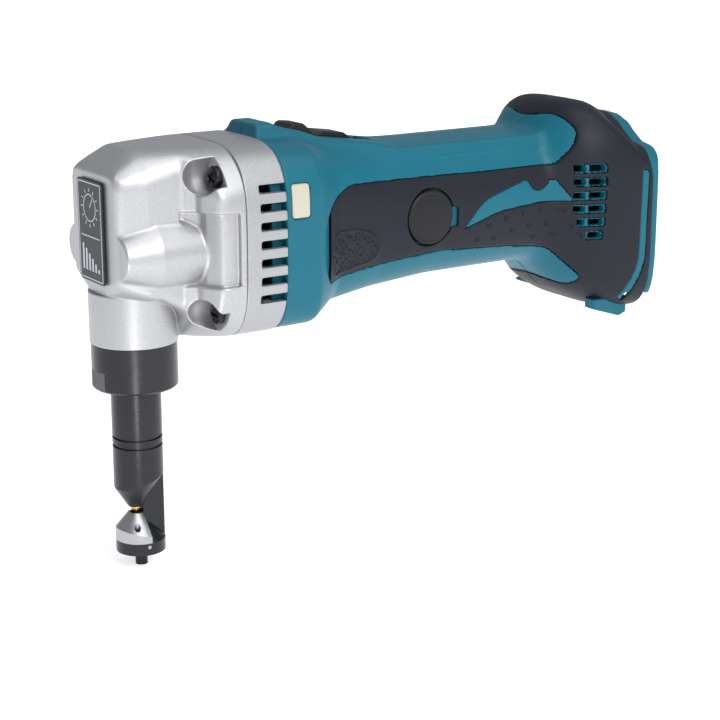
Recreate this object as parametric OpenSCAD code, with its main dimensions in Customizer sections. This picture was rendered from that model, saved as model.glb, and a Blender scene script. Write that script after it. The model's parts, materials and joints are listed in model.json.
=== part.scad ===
// Cordless right-angle nibbler, shown without its battery.
// +X runs back along the handle, +Z runs up the punch, and -Y is the tool's left side.
// The origin lies on the swivel axis of the die holder, at the height of the cutting plane.

/* [Layout] */
// Height of the motor axis above the cutting plane
motor_z = 110; // [109:0.5:111]
// Distance of the punch in front of the swivel axis
punch_offset = 2; // [1.5:0.1:2.2]
// Back end of the cast gear housing
head_back = 31; // [31:0.5:31.5]
// Back end of the tool, the rim round the battery
tool_back = 239; // [237:1:242]

/* [Drive] */
// Gear module
gear_module = 0.5; // [0.45:0.05:0.5]
// Teeth on the motor pinion
pinion_teeth = 12; // [12:1:12]
// Teeth on the crank gear
crank_teeth = 48; // [48:12:48]
// Punch stroke, twice the throw of the crank
stroke = 6; // [4:0.5:6]
// Radius of the roller on the crank pin
roller_r = 4.5; // [4:0.1:4.5]
// Radial running clearance of shafts and slides
running = 0.03; // [0.02:0.01:0.05]

/* [Cutting head] */
// Radius of the barrel of the die holder
barrel_r = 10; // [9.8:0.1:10]
// Radius of the lock nut
nut_r = 17; // [16.5:0.1:17.5]
// Radius of the neck of the casting above the nut
neck_r = 17.35; // [17:0.05:17.5]
// Radius of the punch at its cutting edge
punch_r = 2.2; // [2:0.1:2.3]

/* [Handle] */
// Half the width of the grip
grip_w = 25; // [24.5:0.5:26]
// Half the height of the grip
grip_h = 29; // [28.5:0.5:30]
// Wall of the plastic housing
wall = 2.6; // [2.4:0.1:2.8]
// Depth of the soft overmould
soft = 1.6; // [1.2:0.1:1.6]

/* [Slide switch] */
// Travel of the slide switch
switch_travel = 6; // [4:0.5:6]

/* [Hidden] */
$fn = 64;

// Drive train, worked out from the gears
crank_z = motor_z + gear_module * (pinion_teeth + crank_teeth) / 2;
throw = stroke / 2;
// Room that the yoke slot leaves above and below the roller
slot_play = 0.24 * throw;
brush_x = 125;
die_top = -1;
base_z = -17;
die_z = -12;
spine_x = 0.3;
spine_w = 5;
nut_low = 52;
neck_low = 70.3;
bush_low = 72;
punch_head = 84;
collar_front = 49;
rim_front = 226;
knob_front = 67.5;
knob_length = 31;

// Sections of the shell: back position, centre height, half height, half width, squareness
SHELL = [[collar_front, 109.2, 37.6, 36.6, 4], [65, 109.2, 36.6, 36.2, 5],
    [79, 110.2, 33.2, 29, 3.4], [103, 110.6, 31, grip_w + 1, 2.6],
    [133, 110.7, grip_h, grip_w, 2.4], [189, 110.9, grip_h, grip_w, 2.4],
    [194.5, 112.2, 35.2, 28, 2.6], [201, 110, 42.2, 33, 3], [208, 107.6, 44.2, 35.5, 3.4],
    [215, 104.8, 45.8, 37, 3.8], [226, 101.5, 46, 38, 4.5], [234, 99, 45.5, 38, 5],
    [tool_back, 97, 43, 37.8, 5]];

// One point of a rounded section, at angle a round the X axis
function section_point(s, a, inset) = let(c = cos(a), d = sin(a), p = 2 / s[4])
    [s[0], sign(c) * (s[3] - inset) * pow(abs(c), p), s[1] + sign(d) * (s[2] - inset) * pow(abs(d), p)];

// A closed skin through the sections
module loft(sections, inset, sides = 28) {
    n = len(sections);
    points = [for (s = sections) for (k = [0:sides - 1]) section_point(s, 360 * k / sides, inset)];
    skin = [for (i = [0:n - 2]) for (k = [0:sides - 1]) let(j = (k + 1) % sides)
        each [[i * sides + k, (i + 1) * sides + j, i * sides + j],
            [i * sides + k, (i + 1) * sides + k, (i + 1) * sides + j]]];
    front = [[for (k = [0:sides - 1]) k]];
    back = [[for (k = [sides - 1:-1:0]) (n - 1) * sides + k]];
    polyhedron(points, concat(skin, front, back), convexity = 4);
}

// Place children with their Z axis along +X, starting at x, at height z
module along_x(x, z = motor_z, y = 0) {
    translate([x, y, z]) rotate([0, 90, 0]) children();
}

// Extrude an outline drawn in Y and Z from x for a length
module slab_x(x, length) {
    translate([x, 0, 0]) rotate([90, 0, 90]) linear_extrude(length) children();
}

// Extrude an outline drawn in X and Z across Y, between two places
module slab_y(low, high) {
    translate([0, high, 0]) rotate([90, 0, 0]) linear_extrude(high - low) children();
}

// A round tube along +Z
module tube(outer, inner, height) {
    difference() {
        cylinder(r = outer, h = height);
        translate([0, 0, -1]) cylinder(r = inner, h = height + 2);
    }
}

// A rectangle with round corners, centred on the origin
module round_rect(w, h, r) {
    hull() for (x = [-1, 1], y = [-1, 1]) translate([x * (w / 2 - r), y * (h / 2 - r)]) circle(r, $fn = 32);
}

// Involute angle in degrees, and a tooth's half angle at radius r
function involute(a) = tan(a) * 180 / PI - a;
function tooth_half(r, pitch, play) = let(base = pitch * cos(20), s = PI * gear_module / 2 - play)
    (s / 2 / pitch) * 180 / PI + involute(20) - involute(acos(min(1, base / r)));

// Outline of a spur gear with stub teeth, a tooth pointing along +X turned by phase
module gear_outline(teeth, phase, play = 0.1) {
    pitch = gear_module * teeth / 2;
    tip = pitch + 0.8 * gear_module;
    root = pitch - 1.15 * gear_module;
    flank = [for (t = [0:3]) max(root, pitch * cos(20)) * (3 - t) / 3 + tip * t / 3];
    polygon([for (k = [0:teeth - 1]) let(a = phase + 360 * k / teeth)
        each [for (side = [-1, 1]) each [for (i = [0:4])
            let(step = side < 0 ? i : 4 - i, r = step == 0 ? root : flank[step - 1],
                b = a + side * tooth_half(flank[max(0, step - 1)], pitch, play))
            [r * cos(b), r * sin(b)]]]]);
}

// ---------------------------------------------------------------- cast gear housing

// The head seen from the left
module head_profile() {
    polygon([[-16.5, 90], [-16.5, 138.4], [-5, 147.5], [head_back, 147.5], [head_back, 70.5],
        [17, 70.5], [14, 84], [-14, 84]]);
}

// The head seen from above
module head_plan() {
    side = [[-16.5, 18.5], [-3, 22.3], [9, 22.8], [14.5, 26], [15.5, 29.5], [19, 34.5], [24, 37.2],
        [head_back, 37.2]];
    polygon(concat(side, [for (i = [len(side) - 1:-1:0]) [side[i][0], -side[i][1]]]));
}

// Places of the four screws that join the casting to the motor bracket
module at_head_screws(x) {
    for (y = [-27, 27], z = [-26.5, 26.5]) translate([x, y, motor_z + z]) rotate([0, 90, 0]) children();
}

module flange_outline() {
    translate([0, 109]) round_rect(74.4, 77, 14);
}

module gear_housing() {
    color("silver") difference() {
        union() {
            intersection() {
                slab_y(-40, 40) head_profile();
                translate([0, 0, 60]) linear_extrude(100) head_plan();
                slab_x(-20, 60) flange_outline();
            }
            // half-round swellings on both sides, tapered at the front
            for (y = [-16, 16]) {
                along_x(-14, motor_z - 3, y) cylinder(r1 = 9.5, r2 = 13, h = 14);
                along_x(0, motor_z - 3, y) cylinder(r = 13, h = 17);
            }
            translate([0, 0, neck_low]) cylinder(r = neck_r, h = 24);
            translate([0, 0, nut_low + 5]) cylinder(r = nut_r - 2.5, h = 16);
        }
        // seat of the guide bush and bore of the die holder below it
        translate([0, 0, bush_low]) cylinder(r = 10, h = 22);
        translate([0, 0, nut_low]) cylinder(r = barrel_r + running, h = 22);
        // room for the yoke and the crank
        translate([-9, -12, 94]) cube([18, 24, 46]);
        // front bearing seat, gear room, and the shaft between them
        along_x(8.9, crank_z) cylinder(r = 11, h = 7.1);
        along_x(15.9, crank_z) cylinder(r = 14.5, h = 20);
        along_x(15.9, motor_z) cylinder(r = 7, h = 20);
        // screw pockets open to the front, and their holes
        at_head_screws(-20) cylinder(r = 6.5, h = 44);
        at_head_screws(20) cylinder(r = 2.2, h = 20);
        // seat of the name plate
        translate([-17.5, -11, 95.5]) cube([1.6, 22, 40]);
    }
}

module name_plate() {
    color([0.12, 0.13, 0.15]) slab_x(-16.7, 0.8) translate([0, 115.5]) round_rect(21.8, 39.8, 1.5);
}

module gear_housing_screws() {
    color([0.08, 0.08, 0.09]) at_head_screws(0) {
        difference() {
            union() {
                translate([0, 0, 20.4]) cylinder(r = 4.4, h = 3.6);
                translate([0, 0, 24]) cylinder(r = 2.1, h = 22);
            }
            translate([-0.6, -2.6, 20]) cube([1.2, 5.2, 2.2]);
            translate([-2.6, -0.6, 20]) cube([5.2, 1.2, 2.2]);
        }
    }
}

// ---------------------------------------------------------------- vented motor bracket

module vent_housing() {
    slot_pitch = 7.1;
    color([0.72, 0.73, 0.74]) difference() {
        slab_x(head_back, collar_front - head_back) flange_outline();
        along_x(head_back + 9, motor_z) cylinder(r = 30, h = 12);
        along_x(head_back - 1, motor_z) cylinder(r = 7, h = 12);
        // seats of the motor bearing and the rear crank bearing
        along_x(head_back + 2, motor_z) cylinder(r = 9, h = 12);
        along_x(head_back - 1, crank_z) cylinder(r = 5.5, h = 5);
        at_head_screws(head_back - 1) cylinder(r = 2.2, h = 18);
        // air slots, open at the back edge
        for (k = [-3:3]) translate([38, -40, motor_z + k * slot_pitch - 1.65]) cube([12, 80, 3.3]);
    }
}

// ---------------------------------------------------------------- plastic housing

// Outline of the soft overmould from the side
module grip_outline() {
    hull() {
        translate([100, 108]) circle(17, $fn = 32);
        translate([186, 105]) circle(20, $fn = 32);
    }
    polygon([[189, 84], [196, 160], [232, 160], [232, 50], [203, 50]]);
}

// Screws that draw the two halves together: place in X and Z, and how far right the head sits
SCREWS = [[58, 84, 29], [58, 136, 29], [150, 87, 13], [178, 87, 13], [178, 134, 14],
    [214, 72, 29], [214, 140, 27]];

// Children stand at each screw, with +Z running left from the seat of its head
module at_housing_screws() {
    for (p = SCREWS) translate([p[0], p[2], p[1]]) rotate([90, 0, 0]) children();
}

// Axis of the brushes, +Z pointing out of the left side for -1 and the right for +1
module at_brush(side) {
    translate([brush_x, 0, motor_z]) rotate([side * -90, 0, 0]) children();
}

// Everything on one side of the parting plane
module half_space(side) {
    translate([40, side > 0 ? 0.02 : -50, 20]) cube([220, 49.98, 160]);
}

// Half of the clamshell; side is -1 for the left and +1 for the right
module housing_half(side) {
    difference() {
        intersection() {
            loft(SHELL, 0);
            half_space(side);
        }
        difference() {
            loft(SHELL, wall + soft);
            // wall in front of the battery bay, and the screw bosses
            translate([rim_front - 4, -50, 40]) cube([3, 100, 120]);
            translate([0, -40, 0]) at_housing_screws() translate([0, 0, -60]) cylinder(r = 4.2, h = 90);
        }
        // band taken up by the overmould
        difference() {
            slab_y(-45, 45) grip_outline();
            loft(SHELL, soft);
        }
        at_housing_screws() translate([0, 0, -3]) cylinder(r = 1.6, h = 27);
        at_housing_screws() translate([0, 0, -25]) cylinder(r = 3.2, h = 25);
        // battery bay, open at the back and at the bottom
        translate([rim_front - 1, -34, 30]) cube([30, 68, 102]);
        at_brush(side) cylinder(r = 11.6, h = 40);
        // window of the indicator
        translate([51.3, side * 36 - 4, 118.8]) cube([8.2, 8, 13.4]);
        // slot of the slide switch
        translate([knob_front - 1.5, -7.5, 136]) cube([knob_length + switch_travel + 3, 15, 20]);
        // hole of the terminal block
        translate([rim_front - 6, -16, 84]) cube([8, 32, 34]);
    }
}

module housing_left() {
    color([0.0, 0.42, 0.46]) housing_half(-1);
}

module housing_right() {
    color([0.0, 0.42, 0.46]) housing_half(1);
}

// The soft skin that fills the band, on one side
module overmould(side) {
    difference() {
        intersection() {
            loft(SHELL, 0);
            half_space(side);
            slab_y(-45, 45) grip_outline();
        }
        loft(SHELL, soft);
        at_brush(side) cylinder(r = 13, h = 40);
        at_housing_screws() translate([0, 0, -25]) cylinder(r = 3.2, h = 29);
    }
}

module grip_left() {
    color([0.07, 0.08, 0.09]) overmould(-1);
}

module grip_right() {
    color([0.07, 0.08, 0.09]) overmould(1);
}

module housing_screws() {
    color([0.08, 0.08, 0.09]) at_housing_screws() difference() {
        union() {
            translate([0, 0, -2.4]) cylinder(r = 3, h = 2.4);
            cylinder(r = 1.6, h = 23);
        }
        translate([-0.5, -2, -3]) cube([1, 4, 1.8]);
        translate([-2, -0.5, -3]) cube([4, 1, 1.8]);
    }
}

module indicator_lens(side) {
    color([0.86, 0.82, 0.72]) translate([55.4, side * 34, 125.5]) rotate([side * -90, 0, 0])
        linear_extrude(2.4) round_rect(8, 13.2, 1);
}

module indicator_lens_left() {
    indicator_lens(-1);
}

module indicator_lens_right() {
    indicator_lens(1);
}

// A small lamp board behind each lens
module indicator_board() {
    color([0.1, 0.4, 0.2]) for (side = [-1, 1])
        translate([55.4, side * 32.9, 125.5]) cube([7.8, 1.4, 12.8], center = true);
}

// ---------------------------------------------------------------- motor

module brush_cover(side) {
    color([0.06, 0.06, 0.07]) at_brush(side) {
        translate([0, 0, 21.5]) cylinder(r = 11.3, h = 3.6);
        translate([0, 0, 25.1]) cylinder(r1 = 11.3, r2 = 10.5, h = 0.5);
    }
}

module brush_cover_left() {
    brush_cover(-1);
}

module brush_cover_right() {
    brush_cover(1);
}

// A box-shaped brass guide for each brush
module brush_holders() {
    color([0.8, 0.65, 0.3]) for (side = [-1, 1]) at_brush(side) translate([0, 0, 11.2])
        linear_extrude(10) difference() {
            square([8.4, 11.4], center = true);
            square([6.4, 9.4], center = true);
        }
}

module carbon_brushes() {
    color([0.15, 0.15, 0.16]) for (side = [-1, 1]) at_brush(side) difference() {
        translate([-3.1, -4.6, 8]) cube([6.2, 9.2, 10]);
        translate([-4, 0, 0]) rotate([0, 90, 0]) cylinder(r = 10 + running, h = 8);
    }
}

// Coil springs that press the brushes in, drawn as stacked turns
module brush_springs() {
    color([0.6, 0.6, 0.62]) for (side = [-1, 1], k = [0:3]) at_brush(side)
        translate([0, 0, 18.4 + k * 0.8]) rotate_extrude() translate([2.4, 0]) circle(0.38, $fn = 16);
}

module motor_yoke() {
    color([0.45, 0.46, 0.48]) along_x(64) tube(20.3, 18.3, 53);
}

module field_magnets() {
    color([0.2, 0.2, 0.22]) along_x(70) for (a = [0, 180]) rotate([0, 0, a]) rotate([0, 0, -60])
        rotate_extrude(angle = 120) translate([15.6, 0]) square([2.6, 40]);
}

// A ball bearing as one ring with grooves between its races
module ball_bearing(outer, inner, width) {
    groove = (outer - inner) * 0.3;
    difference() {
        tube(outer, inner, width);
        for (z = [-1, width - 0.5]) translate([0, 0, z]) tube((outer + inner + groove) / 2,
            (outer + inner - groove) / 2, 1.5);
    }
}

module front_motor_bearing() {
    color([0.75, 0.76, 0.78]) along_x(head_back + 2.1) ball_bearing(9, 3.5 + running, 6.5);
}

module rear_motor_bearing() {
    color([0.75, 0.76, 0.78]) along_x(139) ball_bearing(8, 2.5 + running, 5);
}

// Plastic plate that holds the back bearing behind the brushes
module bearing_plate() {
    color([0.2, 0.2, 0.22]) along_x(137.6) difference() {
        cylinder(r = 20, h = 8);
        translate([0, 0, 1.4]) cylinder(r = 8, h = 10);
        translate([0, 0, -1]) cylinder(r = 5, h = 10);
    }
}

module baffle_plate() {
    color([0.15, 0.15, 0.16]) along_x(50.6) tube(30.5, 21, 1.6);
}

module armature_shaft() {
    color([0.7, 0.71, 0.73]) {
        along_x(18) cylinder(r = 2.3, h = 12);
        slab_x(19.2, 8.6) translate([0, motor_z])
            gear_outline(pinion_teeth, 180 / pinion_teeth);
        along_x(30) cylinder(r = 3.5, h = 108);
        along_x(138) cylinder(r = 2.5, h = 6);
    }
}

module armature_core() {
    slots = 12;
    color([0.5, 0.5, 0.52]) along_x(72) linear_extrude(36) difference() {
        circle(15);
        circle(3.5);
        for (k = [1:slots]) rotate(k * 360 / slots) translate([13.2, 0]) square([5, 1.4], center = true);
    }
}

// Copper end turns before and behind the core
module windings() {
    color([0.75, 0.4, 0.2]) for (x = [66.2, 108.1]) along_x(x) rotate_extrude()
        polygon([[6, 0], [13, 0], [14, 1], [14, 4.6], [12.6, 5.7], [7, 5.7], [6, 4.6]]);
}

module commutator() {
    bars = 24;
    color([0.75, 0.45, 0.25]) along_x(117) difference() {
        union() {
            cylinder(r = 10, h = 15);
            cylinder(r = 11, h = 2);
        }
        translate([0, 0, -1]) cylinder(r = 3.5, h = 18);
        for (k = [1:bars]) rotate([0, 0, k * 360 / bars]) translate([9.4, -0.2, 2.5]) cube([3, 0.4, 14]);
    }
}

module cooling_fan() {
    blades = 14;
    color([0.12, 0.12, 0.13]) along_x(42.4) {
        tube(27, 3.5, 1.4);
        tube(8, 3.5, 6);
        for (k = [1:blades]) rotate([0, 0, k * 360 / blades]) translate([12, -0.6, 1]) cube([14.5, 1.2, 5.6]);
    }
}

// ---------------------------------------------------------------- crank and ram

module crank_gear() {
    color([0.55, 0.56, 0.58]) difference() {
        slab_x(19.5, 8) translate([0, crank_z]) gear_outline(crank_teeth, 0);
        along_x(19, crank_z) cylinder(r = 4, h = 10);
        for (a = [0:60:300]) along_x(19, crank_z) rotate([0, 0, a]) translate([8, 0, 0]) cylinder(r = 1.6, h = 10);
    }
}

// The pin is above the shaft at rest, so the ram stands at the top of its stroke
module crankshaft() {
    color([0.6, 0.61, 0.63]) {
        along_x(5.2, crank_z) cylinder(r = 8.5, h = 3.3);
        along_x(8.4, crank_z) cylinder(r = 4, h = 20);
        along_x(28.3, crank_z) cylinder(r = 2.5, h = 6.2);
        along_x(-4.4, crank_z + throw) cylinder(r = 2.5, h = 10);
    }
}

module crank_roller() {
    color([0.8, 0.81, 0.83]) along_x(-4, crank_z + throw) tube(roller_r, 2.5, 8);
}

module front_crank_bearing() {
    color([0.75, 0.76, 0.78]) along_x(9, crank_z) ball_bearing(11, 4 + running, 6.8);
}

module rear_crank_bearing() {
    color([0.75, 0.76, 0.78]) along_x(30.4, crank_z) ball_bearing(5.5, 2.5 + running, 4.4);
}

// Round rod below, yoke above, and a hook at the foot that carries the punch
module ram() {
    slot_h = roller_r + slot_play + 0.05;
    slot_w = throw + roller_r + 0.6;
    yoke_z = crank_z + throw;
    color([0.62, 0.63, 0.65]) difference() {
        union() {
            translate([0, 0, punch_head - 5.9]) cylinder(r = 7, h = yoke_z - punch_head);
            translate([-4.6, -slot_w - 2.6, yoke_z - slot_h - 3])
                cube([9.2, 2 * slot_w + 5.2, 2 * slot_h + 6]);
        }
        translate([-5, -slot_w, yoke_z - slot_h]) cube([10, 2 * slot_w, 2 * slot_h]);
        translate([-2.8, -8, punch_head - 7]) cube([5.6, 10.8, 6]);
        translate([-4.7, -8, punch_head - 1.8]) cube([9.4, 12.7, 3.6]);
        // flat that clears the web of the crank
        translate([4.7, -10, 115.8]) cube([4, 20, 20]);
    }
}

module ram_bush() {
    color([0.7, 0.55, 0.3]) translate([0, 0, bush_low]) tube(10, 7 + running, 21.5);
}

// ---------------------------------------------------------------- punch, die and holder

module punch() {
    color([0.85, 0.68, 0.3]) {
        translate([0, 0, punch_head - 1.6]) cylinder(r = 4.5, h = 3.2);
        translate([0, 0, punch_head - 7]) cylinder(r = 2.6, h = 6);
        translate([0, 0, 12]) cylinder(r = 4, h = punch_head - 18.2);
        translate([-punch_offset, 0, 1]) cylinder(r = punch_r, h = 0.4);
        translate([-punch_offset, 0, 1.3]) cylinder(r = punch_r - 0.15, h = 11);
        translate([-punch_offset, 0, -2]) cylinder(r1 = 0.9, r2 = punch_r - 0.35, h = 3.1);
    }
}

// The throat above the cut: a cone round the punch, wider towards the barrel
module throat() {
    translate([-punch_offset, 0, 0]) rotate_extrude()
        polygon([[0, 1.8], [2.9, 1.8], [13.5, 18.6], [13.5, 24], [0, 24]]);
}

module die_holder() {
    color([0.08, 0.08, 0.09]) difference() {
        union() {
            translate([0, 0, base_z]) cylinder(r = barrel_r, h = bush_low - 0.5 - base_z);
            translate([0, 0, nut_low + 2]) cylinder(r = 13.8, h = 2.9);
        }
        // window round the spine, the web that joins the barrel to its base
        difference() {
            translate([-20, -20, die_z]) cube([40, 40, 34]);
            throat();
            translate([spine_x, -spine_w / 2, die_z - 1]) cube([20, spine_w, 36]);
            intersection() {
                translate([0, 0, die_z - 1]) cylinder(r1 = 11, r2 = 2, h = 9);
                translate([spine_x, -20, die_z - 1]) cube([20, 40, 20]);
            }
        }
        // bore of the punch shank, hole of its tip, and recess of the seal
        translate([0, 0, 5.7]) cylinder(r = 4 + running, h = 80);
        translate([-punch_offset, 0, 0]) cylinder(r = punch_r + running, h = 12.6);
        translate([0, 0, 66]) cylinder(r = 6, h = 3);
        // seat and clamping hole of the die
        translate([0, 0, die_z - 3]) cylinder(r = 5, h = 4);
        translate([0, 0, base_z - 1]) cylinder(r = 2.1, h = 6);
        translate([-0.9, -11, -13.6]) rotate([-90, 0, 0]) cylinder(r = 0.75, h = 4);
        // thickness gauge grooves round the barrel
        for (z = [28, 31.5]) translate([0, 0, z - 0.6]) tube(11, 9.2, 1.2);
    }
}

module die() {
    color([0.75, 0.76, 0.78]) difference() {
        union() {
            intersection() {
                translate([0, 0, die_z]) cylinder(r = barrel_r, h = 11);
                translate([-punch_offset, 0, 0]) rotate_extrude()
                    polygon([[0, die_z], [14, die_z], [14, -14.5], [12.4, die_z], [3.15, die_top], [0, die_top]]);
                translate([-20, -20, die_z]) cube([19.95 + spine_x, 40, 20]);
            }
            translate([0, 0, die_z - 2.9]) cylinder(r = 4.95, h = 2.95);
        }
        // die hole, chip way out on the far side, locating hole, clamping thread
        translate([-punch_offset, 0, die_z + 1]) cylinder(r = punch_r + 0.1, h = 20);
        translate([-punch_offset - 2.3, 0, die_z + 1]) cube([4.6, 12, 4]);
        translate([-4.4, -6.6, -9.5]) cylinder(r = 1.25, h = 10);
        translate([0, 0, -20]) cylinder(r = 2, h = 7.6);
    }
}

module die_bolt() {
    color([0.2, 0.2, 0.22]) difference() {
        union() {
            translate([0, 0, -23.5]) cylinder(r = 2.5, h = 6.45);
            translate([0, 0, -18]) cylinder(r = 2, h = 5);
        }
        translate([0, 0, -24.5]) cylinder(r = 1.5, h = 3.2, $fn = 6);
    }
}

module die_pin() {
    color([0.75, 0.76, 0.78]) translate([-0.9, -9.9, -13.6]) rotate([-90, 0, 0]) cylinder(r = 0.75, h = 2.8);
}

module lock_nut() {
    spigot_r = nut_r - 2.5;
    color([0.08, 0.08, 0.09]) difference() {
        union() {
            translate([0, 0, nut_low]) cylinder(r1 = nut_r - 0.8, r2 = nut_r, h = 0.8);
            translate([0, 0, nut_low + 0.8]) cylinder(r = nut_r, h = neck_low - nut_low - 0.9);
        }
        translate([0, 0, nut_low + 1.95]) cylinder(r = spigot_r + running, h = 20);
        translate([0, 0, nut_low - 1]) cylinder(r = barrel_r + running, h = 5);
        // a pair of wrench flats on the lower part
        for (a = [0, 180]) rotate([0, 0, a]) translate([nut_r - 1, -20, nut_low - 1]) cube([5, 40, 9]);
    }
}

module dust_seal() {
    color([0.35, 0.33, 0.3]) translate([0, 0, 66.1]) tube(5.95, 4 + running, 2.8);
}

// ---------------------------------------------------------------- slide switch

module switch_rod() {
    color([0.1, 0.1, 0.11]) translate([knob_front, 0, 0]) {
        translate([6.5, -4, 131.4]) cube([68, 8, 2.6]);
        difference() {
            translate([12.5, -4, 133]) cube([10, 8, 6.5]);
            translate([11.5, -1.6, 134.1]) cube([12, 3.2, 6]);
            translate([17.5, -6, 136.8]) rotate([-90, 0, 0]) cylinder(r = 1, h = 12);
        }
    }
}

module knob_pin() {
    color([0.7, 0.71, 0.73]) translate([knob_front + 17.5, -3.95, 136.8]) rotate([-90, 0, 0])
        cylinder(r = 1, h = 7.9);
}

// Two humps on one rocking plate, hung on a cross pin
module switch_knob() {
    color([0.06, 0.06, 0.07]) translate([knob_front, 0, 0]) difference() {
        union() {
            slab_y(-6.6, 6.6) polygon([[0, 144.4], [0, 148.6], [2, 150.6], [7.5, 150.3], [14, 146.8],
                [16.5, 147.4], [27.5, 145], [knob_length, 142.8], [knob_length, 140.9], [22.5, 142.2],
                [12.5, 143.4]]);
            translate([14.9, -1.4, 134.8]) cube([5.2, 2.8, 10]);
        }
        translate([17.5, -6, 136.8]) rotate([-90, 0, 0]) cylinder(r = 1 + running, h = 12);
    }
}

module switch_unit() {
    color([0.12, 0.12, 0.13]) translate([150, -9, 116]) {
        cube([24, 18, 18]);
        translate([2, 3, 18]) cube([16, 12, 0.6]);
    }
}

// ---------------------------------------------------------------- battery end

module controller_board() {
    color([0.1, 0.35, 0.2]) {
        translate([180, -14, 96]) cube([28, 28, 1.6]);
        translate([184, -10, 97.5]) cube([16, 20, 7]);
        translate([202, -12, 97.5]) cube([4, 24, 4]);
    }
}

module terminal_block() {
    color([0.1, 0.1, 0.11]) difference() {
        union() {
            translate([rim_front - 5.8, -15.8, 84.2]) cube([7, 31.6, 33.6]);
            translate([rim_front + 1, -13, 88]) cube([5, 26, 26]);
        }
        for (y = [-8, 8]) translate([rim_front - 8, y - 0.55, 92]) cube([20, 1.1, 18]);
    }
}

module terminal_blades() {
    color([0.8, 0.68, 0.35]) for (y = [-8, 8]) translate([rim_front - 7, y - 0.5, 92.1]) cube([17, 1, 17.8]);
}

// Channels that the battery slides up in, one on each side of the bay
module battery_rails() {
    color([0.1, 0.1, 0.11]) for (side = [-1, 1]) mirror([0, side < 0 ? 1 : 0, 0]) {
        translate([rim_front, 29, 70]) cube([12.6, 4.6, 60]);
        translate([rim_front + 9, 25.5, 70]) cube([3.6, 3.6, 60]);
    }
}

gear_housing();
name_plate();
vent_housing();
housing_left();
housing_right();
grip_left();
grip_right();
gear_housing_screws();
housing_screws();
indicator_lens_left();
indicator_lens_right();
indicator_board();
brush_cover_left();
brush_cover_right();
brush_holders();
carbon_brushes();
brush_springs();
motor_yoke();
field_magnets();
front_motor_bearing();
rear_motor_bearing();
baffle_plate();
armature_shaft();
armature_core();
windings();
commutator();
cooling_fan();
crank_gear();
crankshaft();
crank_roller();
front_crank_bearing();
rear_crank_bearing();
ram();
ram_bush();
punch();
die_holder();
die();
die_bolt();
die_pin();
lock_nut();
dust_seal();
switch_rod();
switch_knob();
knob_pin();
switch_unit();
controller_board();
terminal_block();
terminal_blades();
battery_rails();
bearing_plate();
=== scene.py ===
# %% [markdown]
# # A cordless nibbler, dressed
# The moving frame of the tool comes from its engineering model. This script gives each visible part
# the shape of a real moulding or casting and a finish of its own. Sizes inside the shape functions
# are in millimetres, and meshes are in metres.

# %% Load the fixed frame
import json
import math
import bpy
import bmesh
import numpy as np
from mathutils import Matrix, Vector


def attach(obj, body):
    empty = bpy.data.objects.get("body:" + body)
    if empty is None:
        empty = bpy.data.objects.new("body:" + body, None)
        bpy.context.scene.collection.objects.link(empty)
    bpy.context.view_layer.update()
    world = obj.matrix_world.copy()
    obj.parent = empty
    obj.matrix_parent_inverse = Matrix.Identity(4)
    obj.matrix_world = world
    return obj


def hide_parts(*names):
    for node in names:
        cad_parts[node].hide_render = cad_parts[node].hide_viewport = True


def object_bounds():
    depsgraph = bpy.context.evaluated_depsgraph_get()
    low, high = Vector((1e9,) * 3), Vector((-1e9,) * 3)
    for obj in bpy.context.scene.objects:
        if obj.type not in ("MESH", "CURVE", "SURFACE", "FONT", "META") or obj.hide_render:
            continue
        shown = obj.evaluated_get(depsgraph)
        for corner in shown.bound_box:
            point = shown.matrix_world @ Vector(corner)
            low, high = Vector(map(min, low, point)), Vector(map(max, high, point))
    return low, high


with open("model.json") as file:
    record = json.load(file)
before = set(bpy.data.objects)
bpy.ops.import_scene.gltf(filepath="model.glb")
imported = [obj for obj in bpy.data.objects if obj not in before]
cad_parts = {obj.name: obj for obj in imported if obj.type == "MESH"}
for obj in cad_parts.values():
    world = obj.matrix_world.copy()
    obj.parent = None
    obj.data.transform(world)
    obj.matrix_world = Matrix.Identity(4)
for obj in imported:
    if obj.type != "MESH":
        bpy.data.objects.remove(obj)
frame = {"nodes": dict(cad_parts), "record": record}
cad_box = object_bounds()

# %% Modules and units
MM = 0.001
nodes = frame["nodes"]
print(len(nodes), "nodes in the frame")

# %% [markdown]
# ## Camera, floor and light
# A product picture uses a long lens from a little above, a pale floor that glows a little, and large
# soft lamps: a key lamp in front, a wide soft light from above, and a strip low in front that draws a
# bright line down the barrel.

# %% Camera
def look(name, place, forward, lens):
    forward = Vector(forward).normalized()
    right = forward.cross(Vector((0, 0, 1))).normalized()
    up = right.cross(forward)
    data = bpy.data.cameras.new(name)
    data.lens = lens
    data.sensor_width = 36
    data.clip_end = 50
    camera = bpy.data.objects.new(name, data)
    turn = Matrix((right, up, -forward)).transposed().to_4x4()
    camera.matrix_world = Matrix.Translation(place) @ turn
    bpy.context.scene.collection.objects.link(camera)
    return camera


camera = look("camera", (-0.3001, -0.6193, 0.250), (0.529, 0.806, -0.2656), 89.65)
bpy.context.scene.camera = camera

# %% Lamps, each aimed at the middle of the tool
def softbox(name, place, size, power, target=(0.10, 0, 0.09)):
    data = bpy.data.lights.new(name, "AREA")
    data.shape = "RECTANGLE"
    data.size, data.size_y = size
    data.energy = power
    lamp = bpy.data.objects.new(name, data)
    aim = Vector(target) - Vector(place)
    lamp.matrix_world = Matrix.Translation(place) @ aim.to_track_quat("-Z", "Y").to_matrix().to_4x4()
    bpy.context.scene.collection.objects.link(lamp)


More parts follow.
